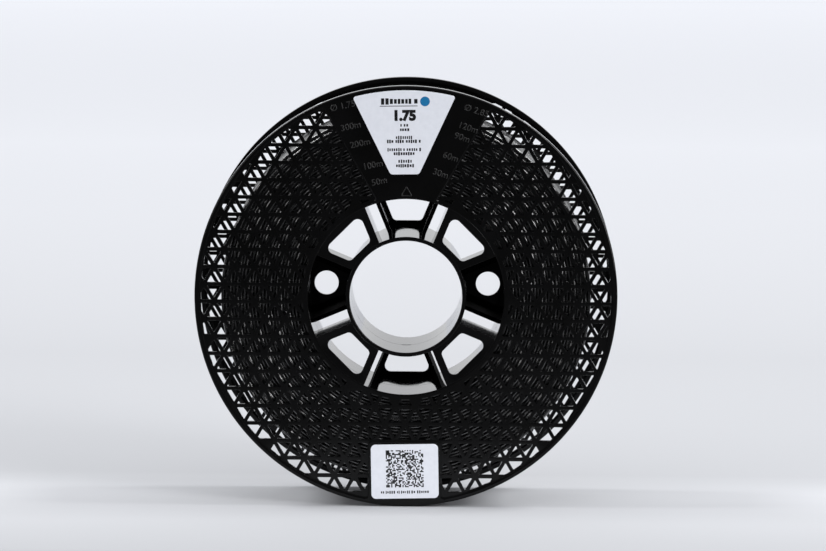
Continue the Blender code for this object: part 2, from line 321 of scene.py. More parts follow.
def turned(bm, profile, steps, closed=True):
    """Rings about the axis through (radius, depth) points, as a list of loops."""
    loops = [add_loop(bm, circle(radius, steps), depth) for radius, depth in profile]
    bridge_all(bm, loops)
    if closed:
        bridge(bm, loops[-1], loops[0])
    return loops


def with_weighted_normals(mesh):
    """The mesh with normals led by its large faces, so flats stay flat beside rounded edges."""
    helper = bpy.data.objects.new("helper", mesh)
    bpy.context.scene.collection.objects.link(helper)
    modifier = helper.modifiers.new("weighted", "WEIGHTED_NORMAL")
    modifier.keep_sharp = True
    modifier.weight = 100
    graph = bpy.context.evaluated_depsgraph_get()
    graph.update()
    result = bpy.data.meshes.new_from_object(helper.evaluated_get(graph))
    name = mesh.name
    bpy.data.objects.remove(helper)
    bpy.data.meshes.remove(mesh)
    result.name = name
    return result


def finished_mesh(bm, name, smooth_angle=40):
    """The mesh made of bm, smooth but for its edges sharper than the angle, in degrees."""
    bmesh.ops.recalc_face_normals(bm, faces=bm.faces)
    mesh = bpy.data.meshes.new(name)
    bm.to_mesh(mesh)
    bm.free()
    mesh.shade_smooth()
    mesh.set_sharp_from_angle(angle=math.radians(smooth_angle))
    return with_weighted_normals(mesh)


def place(name, mesh, finish, body, matrix=None, replaces=()):
    """A piece that rides on a body, wears a finish and stands for its CAD nodes."""
    piece = bpy.data.objects.new(name, mesh)
    bpy.context.scene.collection.objects.link(piece)
    if matrix is not None:
        piece.matrix_world = matrix
    if not mesh.materials:
        mesh.materials.append(None)
    piece.material_slots[0].link = "OBJECT"
    piece.material_slots[0].material = finish
    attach(piece, body)
    if replaces:
        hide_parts(*replaces)
    return piece


# The lattice flange.


def row_height(row):
    return (row - 1 / 3) * LATTICE_PITCH


def node_x(row, column):
    return (column + 0.5 * ((row + 1) % 2)) * LATTICE_SIDE


def lattice_triangles():
    for row in range(-LATTICE_ROWS, LATTICE_ROWS):
        low, high = row_height(row), row_height(row + 1)
        for column in range(-LATTICE_ROWS, LATTICE_ROWS):
            left = node_x(row, column)
            yield [(left, low), (left + LATTICE_SIDE, low), (left + LATTICE_SIDE / 2, high)]
            left = node_x(row + 1, column)
            yield [(left, high), (left + LATTICE_SIDE / 2, low), (left + LATTICE_SIDE, high)]


def in_label_sector(x, z):
    along, across = math.sin(SECTOR_HALF_ANGLE), math.cos(SECTOR_HALF_ANGLE)
    return z * along - abs(x) * across > SECTOR_INSET


def lattice_hole(triangle):
    """The rounded hole in one lattice triangle, cut back at the hub, the rim and the lot pad."""
    cx = sum(x for x, z in triangle) / 3
    cz = sum(z for x, z in triangle) / 3
    distance = math.hypot(cx, cz)
    if in_label_sector(cx, cz) or distance < LATTICE_INNER / 2:
        return []
    share = 1 - LATTICE_RIB / 2 / (LATTICE_PITCH / 3)
    hole = [(cx + (x - cx) * share, cz + (z - cz) * share) for x, z in triangle]
    outward = (cx / distance, cz / distance)
    hole = clipped(hole, outward, LATTICE_OUTER)
    hole = clipped(hole, (-outward[0], -outward[1]), -LATTICE_INNER)
    if cz < row_height(PAD_ROW):
        side = -1 if cx > 0 else 1
        hole = clipped(hole, (side, 0), -PAD_HALF_WIDTH - STEP_FOOT - LATTICE_EDGE)
    hole = without_short_sides(hole)
    if len(hole) < 3 or abs(signed_area(hole)) < LATTICE_SMALLEST_HOLE:
        return []
    hole = rounded(hole, LATTICE_CORNER)
    return hole[::-1] if signed_area(hole) > 0 else hole


def recess_outline():
    """The area round the hub where the lattice lies deeper than the rim, sector and pad."""
    outer, inner = RADIUS - RIM_WALL, BARREL_RADIUS
    distance = SECTOR_INSET - STEP_BEYOND_SECTOR
    sector_normal = math.pi - SECTOR_HALF_ANGLE
    sector_outer = sector_normal - math.acos(distance / outer)
    sector_inner = sector_normal - math.acos(distance / inner)
    pad_angle = -math.acos(PAD_HALF_WIDTH / outer)
    pad_top = row_height(PAD_ROW) + STEP_BEYOND_PAD
    right = arc(outer, sector_outer, pad_angle, RIM_STEPS // 3)
    right.append((PAD_HALF_WIDTH, pad_top))
    hub = arc(inner, math.pi - sector_inner, 2 * math.pi + sector_inner, HUB_STEPS)
    outline = right + mirrored(right) + hub
    count = len(right)
    corners = (0, count - 2, count - 1, count, count + 1, 2 * count - 1, 2 * count, len(outline) - 1)
    outline = rounded(outline, STEP_CORNER, corners, 5)
    return outline[::-1] if signed_area(outline) < 0 else outline


def sink_hub_ring(bm):
    """Outside the label sector the ring round the hub lies level with the lattice."""
    sector = math.acos(SECTOR_INSET / BARREL_RADIUS) - (math.pi / 2 - SECTOR_HALF_ANGLE)
    for vertex in bm.verts:
        radius = math.hypot(vertex.co.x, vertex.co.z)
        depth = vertex.co.y - FACE_Y
        if radius < BARREL_RADIUS + STEP_CORNER and depth < RECESS:
            beyond = abs(math.atan2(vertex.co.x, vertex.co.z)) - sector
            share = min(1, max(0, beyond / HUB_RING_FALL))
            # The bore side of the ring keeps half of its own slope, its crest none.
            kept = 0.5 if radius < CREST_RADIUS - TUCK else 0
            vertex.co.y = FACE_Y + depth + (RECESS - depth * (1 - kept)) * share


def flange_mesh():
    bm = bmesh.new()
    sides = [
        walls(bm, hole, RECESS, WEB_DEPTH, LATTICE_EDGE, LATTICE_EDGE)
        for hole in filter(None, map(lattice_hole, lattice_triangles()))
    ]
    recess = recess_outline()
    steps = edge_steps()
    step = [add_loop(bm, inset(recess, -STEP_TOP * a), STEP_TOP * b * STEP_FALL) for a, b in steps]
    step += [
        add_loop(bm, inset(recess, STEP_FOOT * a), RECESS - STEP_FOOT * b * STEP_FALL)
        for a, b in reversed(steps)
    ]
    bridge_all(bm, step)
    fill(bm, [step[-1], *(side[0] for side in sides)])

    rim = [(RADIUS - RIM_ROUNDING * a, RIM_ROUNDING * b) for a, b in edge_steps(5)]
    rim += [
        (RADIUS - SMALL_ROUNDING * a, RIM_DEPTH - SMALL_ROUNDING * b)
        for a, b in reversed(edge_steps())
    ]
    rim_inner = RADIUS - RIM_WALL
    rim += [
        (rim_inner + SMALL_ROUNDING, RIM_DEPTH),
        (rim_inner, RIM_DEPTH - SMALL_ROUNDING),
        (rim_inner, WEB_DEPTH + STEP_FOOT),
        (rim_inner - STEP_FOOT, WEB_DEPTH),
    ]
    rim_loops = turned(bm, rim, RIM_STEPS, closed=False)
    bore = BARREL_RADIUS - BARREL_WALL
    hub = [(CREST_RADIUS, 0), (bore + BEVEL, 0), (bore, BEVEL), (bore, WEB_DEPTH)]
    hub_loops = turned(bm, hub, HUB_STEPS, closed=False)
    fill(bm, [rim_loops[0], step[0], hub_loops[0]])
    fill(bm, [rim_loops[-1], hub_loops[-1], *(side[1] for side in sides)])
    sink_hub_ring(bm)
    return finished_mesh(bm, "flange", 35)


# The hub. A hub sector lies round +X, and its sides run parallel to the dividing radii.


def offset_angle(radius, offset):
    return HALF_SECTOR - math.asin(offset / radius)


def barrel_mesh():
    bm = bmesh.new()
    inner, outer = BARREL_RADIUS - BARREL_WALL, BARREL_RADIUS
    end = HALF_WIDTH - SEAM_GAP
    profile = [(inner, WEB_DEPTH - TUCK), (outer, WEB_DEPTH - TUCK)]
    profile += [(outer, end), (inner + BEVEL, end), (inner, end - BEVEL)]
    turned(bm, profile, HUB_STEPS)
    return finished_mesh(bm, "barrel")


def bore_tube_mesh():
    """The tube round the bore, with a rounded mouth and a small notch at the foot of its seam."""
    bm = bmesh.new()
    outer, inner = BORE_TUBE_RADIUS, BORE_TUBE_RADIUS - BORE_WALL
    end = HALF_WIDTH - SEAM_GAP
    lip = [(inner + BORE_LIP * a, PLATE_FRONT + BORE_LIP * b) for a, b in reversed(edge_steps(3))]
    rim = [(outer - BORE_RIM * a, PLATE_FRONT + BORE_RIM * b) for a, b in edge_steps()]
    seam = [(outer, end), (inner + BEVEL, end), (inner, end - BEVEL)]
    loops = turned(bm, lip + rim + seam, HUB_STEPS)
    for loop in loops[-len(seam):]:
        for vertex in loop:
            if abs(vertex.co.x) < NOTCH_HALF_WIDTH and vertex.co.z < 0:
                vertex.co.y -= NOTCH_DEPTH
    return finished_mesh(bm, "bore_tube")


def plate_outline():
    """A hub sector between the bore tube and the barrel, a little into both."""
    inner, outer = BORE_TUBE_RADIUS - TUCK, BARREL_RADIUS - BARREL_WALL + TUCK
    a, b = offset_angle(outer, HUB_GAP / 2), offset_angle(inner, HUB_GAP / 2)
    return arc(outer, -a, a, 24) + arc(inner, b, -b, 16)


def window_half_width(distance):
    return distance * math.tan(HALF_SECTOR) - WINDOW_SIDE_OFFSET / math.cos(HALF_SECTOR)


def window_outline():
    outer_half, inner_half = window_half_width(WINDOW_OUTER), window_half_width(WINDOW_INNER)
    outline = [(WINDOW_OUTER, -outer_half), (WINDOW_OUTER, outer_half)]
    outline += [(WINDOW_INNER, inner_half), (WINDOW_INNER, -inner_half)]
    outline = rounded(outline, WINDOW_INNER_CORNER, (2, 3), 8)
    return rounded(outline, WINDOW_OUTER_CORNER, (0, 1), 8)[::-1]


def round_hole_outline():
    return shifted(circle(ROUND_HOLE_RADIUS, 48), ROUND_HOLE_DISTANCE, 0)[::-1]


def plate_mesh(opening):
    """A hub plate with its opening. Its outer border rises towards the flange as a cone."""
    bm = bmesh.new()
    slab(bm, plate_outline(), [opening], PLATE_FRONT, PLATE_BACK, HUB_EDGE, HUB_EDGE / 2)
    middle = FACE_Y + (PLATE_FRONT + PLATE_BACK) / 2
    cone_start = BARREL_RADIUS - BARREL_WALL - (PLATE_FRONT - RECESS) / CONE_SLOPE
    for vertex in bm.verts:
        rise = (math.hypot(vertex.co.x, vertex.co.z) - cone_start) * CONE_SLOPE
        if vertex.co.y < middle and rise > 0:
            vertex.co.y -= rise
    return finished_mesh(bm, "plate", 50)


def rib_mesh(side, extra=0.0):
    """The wall under a plate's upper (side 1) or lower (side -1) edge, down to the seam.

    The extra thickness lies on the side away from the plate's middle.
    """
    inner, outer = BORE_TUBE_RADIUS - TUCK, BARREL_RADIUS - BARREL_WALL + TUCK
    near, far = HUB_GAP / 2 + RIB_SETBACK - extra, HUB_GAP / 2 + RIB_THICKNESS
    outline = [
        polar(inner, offset_angle(inner, near)),
        polar(inner, offset_angle(inner, far)),
        polar(outer, offset_angle(outer, far)),
        polar(outer, offset_angle(outer, near)),
    ]
    outline = [(x, z * side) for x, z in outline]
    if signed_area(outline) < 0:
        outline.reverse()
    bm = bmesh.new()
    middle = (PLATE_FRONT + PLATE_BACK) / 2
    slab(bm, outline, [], middle, HALF_WIDTH - SEAM_GAP, HUB_EDGE / 3, HUB_EDGE)
    return finished_mesh(bm, "rib")


# Finishes.


def node_material(name):
    material = bpy.data.materials.new(name)
    material.use_nodes = True
    nodes, links = material.node_tree.nodes, material.node_tree.links
    return material, nodes, links, nodes["Principled BSDF"]


def noise(nodes, links, scale, detail=4):
    """A noise texture in the object's own metres."""
    coordinates = nodes.new("ShaderNodeTexCoord")
    texture = nodes.new("ShaderNodeTexNoise")
    texture.inputs["Scale"].default_value = scale
    texture.inputs["Detail"].default_value = detail
    links.new(coordinates.outputs["Object"], texture.inputs["Vector"])
    return texture.outputs["Fac"]


def spread(nodes, links, value, low, high):
    """The value's middle range mapped to low and high."""
    mapped = nodes.new("ShaderNodeMapRange")
    mapped.inputs["From Min"].default_value = 0.3
    mapped.inputs["From Max"].default_value = 0.7
    mapped.inputs["To Min"].default_value = low
    mapped.inputs["To Max"].default_value = high
    links.new(value, mapped.inputs["Value"])
    return mapped.outputs["Result"]


def tone(nodes, links, value, dark, light):
    """A colour between dark and light, by the value."""
    ramp = nodes.new("ShaderNodeValToRGB")
    ramp.color_ramp.elements[0].position = 0.3
    ramp.color_ramp.elements[0].color = (*dark, 1)
    ramp.color_ramp.elements[1].position = 0.7
    ramp.color_ramp.elements[1].color = (*light, 1)
    links.new(value, ramp.inputs["Fac"])
    return ramp.outputs["Color"]


def bump(nodes, links, shader, height, distance):
    """A surface relief of the given depth, in metres."""
    node = nodes.new("ShaderNodeBump")
    node.inputs["Distance"].default_value = distance
    node.inputs["Strength"].default_value = 1.0
    links.new(height, node.inputs["Height"])
    links.new(node.outputs["Normal"], shader.inputs["Normal"])


def spool_plastic():
    """Black moulded plastic: semi-gloss, with a faint uneven sheen and a fine mould texture."""
    material, nodes, links, shader = node_material("spool_plastic_moulded")
    dark, light = (0.0022, 0.0022, 0.0022), (0.0036, 0.0036, 0.0038)
    links.new(tone(nodes, links, noise(nodes, links, 45, 3), dark, light), shader.inputs["Base Color"])
    shader.inputs["Specular IOR Level"].default_value = 0.17
    links.new(spread(nodes, links, noise(nodes, links, 90, 5), 0.045, 0.08), shader.inputs["Roughness"])
    bump(nodes, links, shader, noise(nodes, links, 1400, 3), 0.000003)
    return material


def rib_plastic_painted_shade():
    """The same plastic on the inner walls of the hub: matte, with a darker base colour as painted shade."""
    material, nodes, links, shader = node_material("spool_plastic_painted_shade")
    fine = noise(nodes, links, 500, 4)
    # The darker base colour is painted shade on walls inside the hub.
    links.new(tone(nodes, links, fine, (0.0016,) * 3, (0.0028,) * 3), shader.inputs["Base Color"])
    links.new(spread(nodes, links, fine, 0.75, 0.90), shader.inputs["Roughness"])
    shader.inputs["Specular IOR Level"].default_value = 0.05
    bump(nodes, links, shader, fine, 0.00001)
    return material


def raised_plastic_painted_highlight():
    """The same plastic where it stands proud: paler in colour as a painted highlight, and duller."""
    material, nodes, links, shader = node_material("spool_plastic_raised_painted_highlight")
    fine = noise(nodes, links, 800, 3)
    # The paler base colour is a painted highlight on the raised marks.
    links.new(tone(nodes, links, fine, (0.008,) * 3, (0.014,) * 3), shader.inputs["Base Color"])
    links.new(spread(nodes, links, fine, 0.28, 0.40), shader.inputs["Roughness"])
    bump(nodes, links, shader, fine, 0.000006)
    return material


def filament_plastic():
    """Extruded dark grey strand: glossy, with slight colour change along its length."""
    material, nodes, links, shader = node_material("filament_extruded")
    dark, light = (0.005, 0.005, 0.006), (0.010, 0.010, 0.011)
    links.new(tone(nodes, links, noise(nodes, links, 160, 3), dark, light), shader.inputs["Base Color"])
    shader.inputs["Specular IOR Level"].default_value = 1.0
    shader.inputs["IOR"].default_value = 1.7
    links.new(spread(nodes, links, noise(nodes, links, 600, 3), 0.20, 0.28), shader.inputs["Roughness"])
    bump(nodes, links, shader, noise(nodes, links, 900, 4), 0.000004)
    return material


def label_paper():
    """Coated white sticker with a cool cast."""
    material, nodes, links, shader = node_material("label_coated_paper")
    fine = noise(nodes, links, 500, 4)
    links.new(tone(nodes, links, fine, (0.66, 0.68, 0.74), (0.70, 0.72, 0.78)), shader.inputs["Base Color"])
    links.new(spread(nodes, links, fine, 0.38, 0.46), shader.inputs["Roughness"])
    bump(nodes, links, shader, fine, 0.000015)
    return material


def print_ink(name, dark, light):
    """Dull ink, a little uneven."""
    material, nodes, links, shader = node_material(name)
    links.new(tone(nodes, links, noise(nodes, links, 700, 2), dark, light), shader.inputs["Base Color"])
    links.new(spread(nodes, links, noise(nodes, links, 700, 2), 0.40, 0.50), shader.inputs["Roughness"])
    shader.inputs["Specular IOR Level"].default_value = 0.2
    return material


def tones_along_y(nodes, links, coordinate, stops, tint=(1, 1, 1)):
    """A tint at levels that change along a coordinate's Y, through stops of (y, level)."""
    first, last = stops[0][0], stops[-1][0]
    parts = nodes.new("ShaderNodeSeparateXYZ")
    links.new(nodes.new("ShaderNodeTexCoord").outputs[coordinate], parts.inputs["Vector"])
    share = nodes.new("ShaderNodeMapRange")
    share.inputs["From Min"].default_value = first
    share.inputs["From Max"].default_value = last
    links.new(parts.outputs["Y"], share.inputs["Value"])
    ramp = nodes.new("ShaderNodeValToRGB")
    elements = ramp.color_ramp.elements
    while len(elements) < len(stops):
        elements.new(0.5)
    for element, (y, level) in zip(elements, stops):
        element.position = (y - first) / (last - first)
        element.color = (*(level * channel for channel in tint), 1)
    links.new(share.outputs["Result"], ramp.inputs["Fac"])
    return ramp.outputs["Color"]


def floor_painted_light_and_shade():
    """A pale studio floor with painted light and shade: its colour changes with distance, light under the
    object, dim in front, with a painted shadow just behind it.
    """
    material, nodes, links, shader = node_material("studio_floor")
    # This colour ramp paints the floor's light and shade along Y.
    colour = tones_along_y(nodes, links, "Object", FLOOR_PAINTED_LEVELS, FLOOR_TINT)
    links.new(colour, shader.inputs["Base Color"])
    shader.inputs["Roughness"].default_value = 0.55
    shader.inputs["Specular IOR Level"].default_value = 0.0
    return material


# Stand-in pieces for the two halves.


def half_matrix(side, angle=0.0):
    """Where a piece of a half goes: turned about the bore from +X towards +Z, then to its side."""
    turn = Matrix.Identity(4) if side == "front" else Matrix.Rotation(math.pi, 4, "Z")
    return turn @ Matrix.Rotation(-angle, 4, "Y")


def build_half(side, meshes, plates, plastic, raised, shaded_wall_finish):
    """One half of the spool. The rear's side walls wear the matte finish with painted shade, except its top
    plate's.
    """
    body = f"{side}_half"

    def add(node, mesh, angle=0.0, finish=plastic):
        matrix = half_matrix(side, angle)
        place(f"{node}_moulding", mesh, finish, body, matrix, (node,))

    add(f"{side}_flange", meshes["flange"])
    add(f"{side}_barrel", meshes["barrel"])
    add(f"{side}_bore_tube", meshes["bore_tube"])
    rib = 0
    for kind, middles in plates.items():
        for number, middle in enumerate(middles, 1):
            angle = math.radians(middle)
            add(f"{side}_{kind}_plate_{number}", meshes[kind], angle)
            for wall in ("upper_rib", "lower_rib"):
                rib += 1
                wide = kind == "hole" and (wall == "upper_rib") == (math.cos(angle) > 0)
                # The rear hub's inner walls get the darker copy of the plastic, with painted shade.
                finish = shaded_wall_finish if side == "rear" and middle != TOP else plastic
                add(f"{side}_rib_{rib}", meshes["wide_" + wall if wide else wall], angle, finish)
    place(f"{side}_gauge_marks", meshes["marks"], raised, body, half_matrix(side))


# Raised marks on the label sector: a length scale for two strand diameters.


LEFT_MARKS = (
    ("Ø 1.75", -0.0303, 0.0902), ("300m", -0.0265, 0.0806), ("200m", -0.0220, 0.0726),
    ("100m", -0.0160, 0.0624), ("50m", -0.0129, 0.0547),
)
RIGHT_MARKS = (
    ("Ø 2.85", 0.0327, 0.0884), ("120m", 0.0288, 0.0804), ("90m", 0.0260, 0.0757),
    ("60m", 0.0207, 0.0665), ("30m", 0.0160, 0.0586),
)
MARK_SIZE = 0.0043
MARK_WEIGHT = 0.00003
MARK_RELIEF = 0.00018
MARK_BEVEL = 0.00014
MARK_ROOT = 0.00005
TRIANGLE_HEIGHT = 0.0495
TRIANGLE_RADII = (0.0033, 0.0024)
TRIANGLE_CORNERS = (0.0004, 0.0003)
TRIANGLE_EDGE = 0.00013
LEFT_TILT = math.radians(13)
RIGHT_TILT = math.radians(-17.5)


def add_text(bm, text, x, z, size, tilt, depth, thickness, weight=0.0, bevel=0.0):
    """Letters that face the front, centred at a point, from a depth to thickness in front of it."""
    data = bpy.data.curves.new("text", "FONT")
    data.body = text
    data.size = size
    data.align_x = data.align_y = "CENTER"
    data.extrude = thickness / 2 - bevel
    data.offset = weight - bevel
    data.bevel_depth = bevel
    data.resolution_u = 3
    helper = bpy.data.objects.new("text", data)
    bpy.context.scene.collection.objects.link(helper)
    bpy.context.view_layer.update()
    graph = bpy.context.evaluated_depsgraph_get()
    mesh = bpy.data.meshes.new_from_object(helper.evaluated_get(graph))
    centre = Vector((x, FACE_Y + depth - thickness / 2, z))
    turn = Matrix.Rotation(-tilt, 4, "Y") @ Matrix.Rotation(math.pi / 2, 4, "X")
    mesh.transform(Matrix.Translation(centre) @ turn)
    bm.from_mesh(mesh)
    bpy.data.objects.remove(helper)
    bpy.data.meshes.remove(mesh)
    bpy.data.curves.remove(data)


def triangle(radius, corner):
    """A small triangle, point up, that marks the middle of the scale's foot."""
    points = arc(radius, math.pi / 2, math.pi / 2 + 2 * math.pi, 3)[:-1]
    return rounded(shifted(points, 0, TRIANGLE_HEIGHT), corner)


def marks_mesh():
    bm = bmesh.new()
    thickness = MARK_RELIEF + MARK_BEVEL
    for marks, tilt in ((LEFT_MARKS, LEFT_TILT), (RIGHT_MARKS, RIGHT_TILT)):
        for text, x, z in marks:
            add_text(bm, text, x, z, MARK_SIZE, tilt, MARK_BEVEL, thickness, MARK_WEIGHT, MARK_BEVEL)
    bmesh.ops.remove_doubles(bm, verts=bm.verts, dist=1e-7)
    outer, inner = map(triangle, TRIANGLE_RADII, TRIANGLE_CORNERS)
    slab(bm, outer, [inner[::-1]], -MARK_RELIEF, MARK_ROOT, TRIANGLE_EDGE, HIDDEN_EDGE)
    return finished_mesh(bm, "gauge_marks", 30)


# The winding: strands side by side on the outside, strand rings on both end faces, and a core.


FACE_SWAY = 0.000175
FACE_DRIFT = 0.00072
FACE_SETBACK = 0.0008
FACE_UNEVENNESS = 0.0004
HELIX_SETBACK = STRAND * 1.1
HELIX_PITCH = STRAND * 1.02
HELIX_SWAY = (-0.00012, 0.00006)
CORE_DEPTH = STRAND * 0.75
CORE_SETBACK = STRAND * 1.2


def wave(rng, amount, terms=3, longest=2):
    """A smooth closed wobble: a function of the angle, with a seeded phase for each term."""
    parts = [(longest + 2 * i + rng.randrange(2), rng.uniform(0, 2 * math.pi)) for i in range(terms)]
    return lambda t: amount / terms * sum(math.sin(n * t + phase) for n, phase in parts)


def tube_section(bm, centre, first, second):
    """A ring of vertices round a strand, in the plane of two unit vectors."""
    angles = [2 * math.pi * side / TUBE_SIDES for side in range(TUBE_SIDES)]
    reach = STRAND / 2
    return [
        bm.verts.new(centre + first * (reach * math.cos(a)) + second * (reach * math.sin(a)))
        for a in angles
    ]


def join_sections(bm, sections, closed):
    """The strand's skin between its sections, run together or with flat ends."""
    bridge_all(bm, sections)
    if closed:
        bridge(bm, sections[-1], sections[0])
    else:
        bm.faces.new(sections[0])
        bm.faces.new(sections[-1][::-1])


def add_tube(bm, path, closed):
    """A strand along points given as (radius, angle, y)."""
    sections = []
    for radius, angle, y in path:
        outward = Vector((math.cos(angle), 0, math.sin(angle)))
        centre = outward * radius + Vector((0, y, 0))
        sections.append(tube_section(bm, centre, outward, Vector((0, 1, 0))))
    join_sections(bm, sections, closed)


def add_free_tube(bm, points):
    """A strand along any path of points, with flat ends."""
    normal = (points[1] - points[0]).orthogonal().normalized()
    sections = []
    for index, point in enumerate(points):
        ahead = points[min(index + 1, len(points) - 1)] - points[max(index - 1, 0)]
        ahead.normalize()
        normal = (normal - ahead * normal.dot(ahead)).normalized()
        sections.append(tube_section(bm, point, normal, ahead.cross(normal)))
    join_sections(bm, sections, closed=False)


def winding_face_mesh(side, seed):
    """The strands that show on one end face of the winding, a wobbling ring for each layer."""
    rng = random.Random(seed)
    bm = bmesh.new()
    first = BARREL_RADIUS + STRAND_GAP + STRAND / 2
    last = WINDING_RADIUS - STRAND / 2
    furthest = WINDING_END - STRAND / 2
    count = int((last - first) / STRAND_PITCH) + 1
    for layer in range(count):
        radius = last - layer * STRAND_PITCH
        sway, drift = wave(rng, FACE_SWAY), wave(rng, FACE_DRIFT, 4, 1)
        base = furthest - FACE_SETBACK - rng.uniform(0, FACE_UNEVENNESS)
        path = []
        for i in range(FACE_RING_STEPS):
            t = 2 * math.pi * i / FACE_RING_STEPS
            path.append((radius + sway(t), t, side * min(base + drift(t), furthest)))
        add_tube(bm, path, closed=True)
    return finished_mesh(bm, "winding_face", 80)


def winding_outside_mesh():
    """The outermost layer: one long helix from face to face."""
    rng = random.Random(11)
    bm = bmesh.new()
    reach = WINDING_END - HELIX_SETBACK
    turns = int(2 * reach / HELIX_PITCH)
    sway = [rng.uniform(*HELIX_SWAY) for _ in range(turns + 2)]
    count = turns * HELIX_STEPS
    path = []
    for i in range(count + 1):
        turn, part = divmod(i, HELIX_STEPS)
        ease = part / HELIX_STEPS
        jitter = sway[turn] * (1 - ease) + sway[turn + 1] * ease
        angle = 2 * math.pi * i / HELIX_STEPS
        path.append((WINDING_RADIUS - STRAND / 2 + jitter, angle, -reach + 2 * reach * i / count))
    add_tube(bm, path, closed=False)
    return finished_mesh(bm, "winding_outside", 80)


def winding_core_mesh():
    """What lies under the outer strands and closes the gaps between them."""
    bm = bmesh.new()
    inner, outer = BARREL_RADIUS + STRAND_GAP, WINDING_RADIUS - CORE_DEPTH
    half_length = WINDING_END - CORE_SETBACK
    start, end = HALF_WIDTH - half_length, HALF_WIDTH + half_length
    turned(bm, [(inner, start), (outer, start), (outer, end), (inner, end)], RIM_STEPS)
    return finished_mesh(bm, "winding_core")


def free_end_mesh():
    """The loose end: it leaves the outer layer and runs out through a hole of the rear flange."""
    low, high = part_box("filament_free_end")
    hole_x = node_x(FREE_END_ROW, FREE_END_COLUMN) + LATTICE_SIDE / 2
    hole_z = row_height(FREE_END_ROW) + LATTICE_PITCH / 3
    end_angle, end_radius = math.atan2(hole_z, hole_x), math.hypot(hole_x, hole_z)
    lying = WINDING_RADIUS + STRAND_GAP + STRAND / 2
    start_y = low.y + STRAND / 2
    straight_y = HALF_WIDTH - RIM_DEPTH - STRAND
    bm = bmesh.new()
    points = []
    for i in range(FREE_END_STEPS + 1):
        share = i / FREE_END_STEPS
        ease = share * share * (3 - 2 * share)
        angle = end_angle - FREE_END_SWEEP * (1 - share) ** 2
        x, z = polar(lying + (end_radius - lying) * ease, angle)
        points.append(Vector((x, start_y + (straight_y - start_y) * share**2, z)))
    points.append(Vector((hole_x, high.y, hole_z)))
    add_free_tube(bm, points)
    return finished_mesh(bm, "free_end", 60)


def build_winding(finish):
    meshes = {
        "winding_front_face": winding_face_mesh(-1, 3),
        "winding_rear_face": winding_face_mesh(1, 4),
        "winding_outer_layer": winding_outside_mesh(),
        "winding_core": winding_core_mesh(),
    }
    for name, mesh in meshes.items():
        place(name, mesh, finish, "front_half", None, ("filament_winding",))
    loose_end = free_end_mesh()
    place("filament_loose_end", loose_end, finish, "front_half", None, ("filament_free_end",))


# The two stickers. Their printing is generic: blocks for words, a plain number, a random pattern.


LABEL_TOP_RADIUS = 0.0981
LABEL_TOP_HALF_WIDTH = 0.0243
LABEL_BOTTOM_HEIGHT = 0.0584
LABEL_BOTTOM_HALF_WIDTH = 0.00675
LABEL_CORNER = 0.0018
LABEL_CENTRE_HEIGHT = 0.0770
LABEL_PLACE = (-0.00115, 0.0768)
LABEL_TURN = math.radians(0.9)
LOT_SIZE = (0.0319, 0.0259)
LOT_PLACE = (0, -0.0831)
LOT_CORNER = 0.0022
LOT_TURN = math.radians(1.25)
STICKER_ROOT = 0.00002
STICKER_EDGE = 0.00004
INK_THICKNESS = 0.00001

# The main sticker's print, about its centre: a heading with a disc, a number and lines of blocks.
HEADING = (-0.0022, 0.0159, 0.0175, 0.0030)
UNDERLINE = (-0.0026, 0.0137, 0.0178, 0.00034)
DISC_RADIUS = 0.0023
DISC_PLACE = (0.0098, 0.0158)
NUMBER_HEIGHT = 0.0090
NUMBER_SIZE = 0.0064
NUMBER_WEIGHT = 0.00042
LINE_SIZE = 0.00165
# Each line's height, width and whether it is bold.
LINES = (
    (0.0046, 0.0040, False), (0.0025, 0.0042, True), (-0.0012, 0.0083, False), (-0.0030, 0.0166, True),
    (-0.0069, 0.0163, False), (-0.0088, 0.0104, True), (-0.0124, 0.0062, False), (-0.0145, 0.0083, True),
)

# The lot sticker's print: a square field of cells over a line of blocks.
FIELD_CELLS = 30
FIELD_SIDE = 0.0178
FIELD_HEIGHT = 0.0013
FIELD_LINE = (0, -0.0099, 0.0230, 0.0014)
CELL_SHARE = 0.98


def main_label_outline():
    half = math.asin(LABEL_TOP_HALF_WIDTH / LABEL_TOP_RADIUS)
    outline = arc(LABEL_TOP_RADIUS, math.pi / 2 - half, math.pi / 2 + half, 16)
    last = len(outline) - 1
    outline += [(side * LABEL_BOTTOM_HALF_WIDTH, LABEL_BOTTOM_HEIGHT) for side in (-1, 1)]
    outline = rounded(outline, LABEL_CORNER, (0, last, last + 1, last + 2), 6)
    return shifted(outline, 0, -LABEL_CENTRE_HEIGHT)


def rectangle(x, z, width, height):
    w, h = width / 2, height / 2
    return [(x + w, z - h), (x + w, z + h), (x - w, z + h), (x - w, z - h)]


def sticker_mesh(outline):
    bm = bmesh.new()
    slab(bm, outline, [], LABEL_FRONT, STICKER_ROOT, STICKER_EDGE, HIDDEN_EDGE)
    return finished_mesh(bm, "sticker")


def add_ink(bm, outline):
    """A printed area: a thin layer half sunk into the sticker's face."""
    front = add_loop(bm, outline, LABEL_FRONT - INK_THICKNESS)
    back = add_loop(bm, outline, LABEL_FRONT + INK_THICKNESS)
    bm.faces.new(front)
    bm.faces.new(back[::-1])
    bridge(bm, front, back)


def add_word_line(bm, rng, x, z, width, height, bold):
    """A line of blocks as wide as letters, in words, in place of text."""
    left, right = x - width / 2, x + width / 2
    stroke = 0.92 if bold else 0.8
    while left < right - height * 0.3:
        block = height * rng.uniform(0.42, 0.62)
        tall = height * rng.choice((0.72, 0.8, 1))
        add_ink(bm, rectangle(left + block / 2, z, block * stroke, tall))
        word_goes_on = rng.random() > 0.16
        left += block * (1.25 if word_goes_on else 1.9)


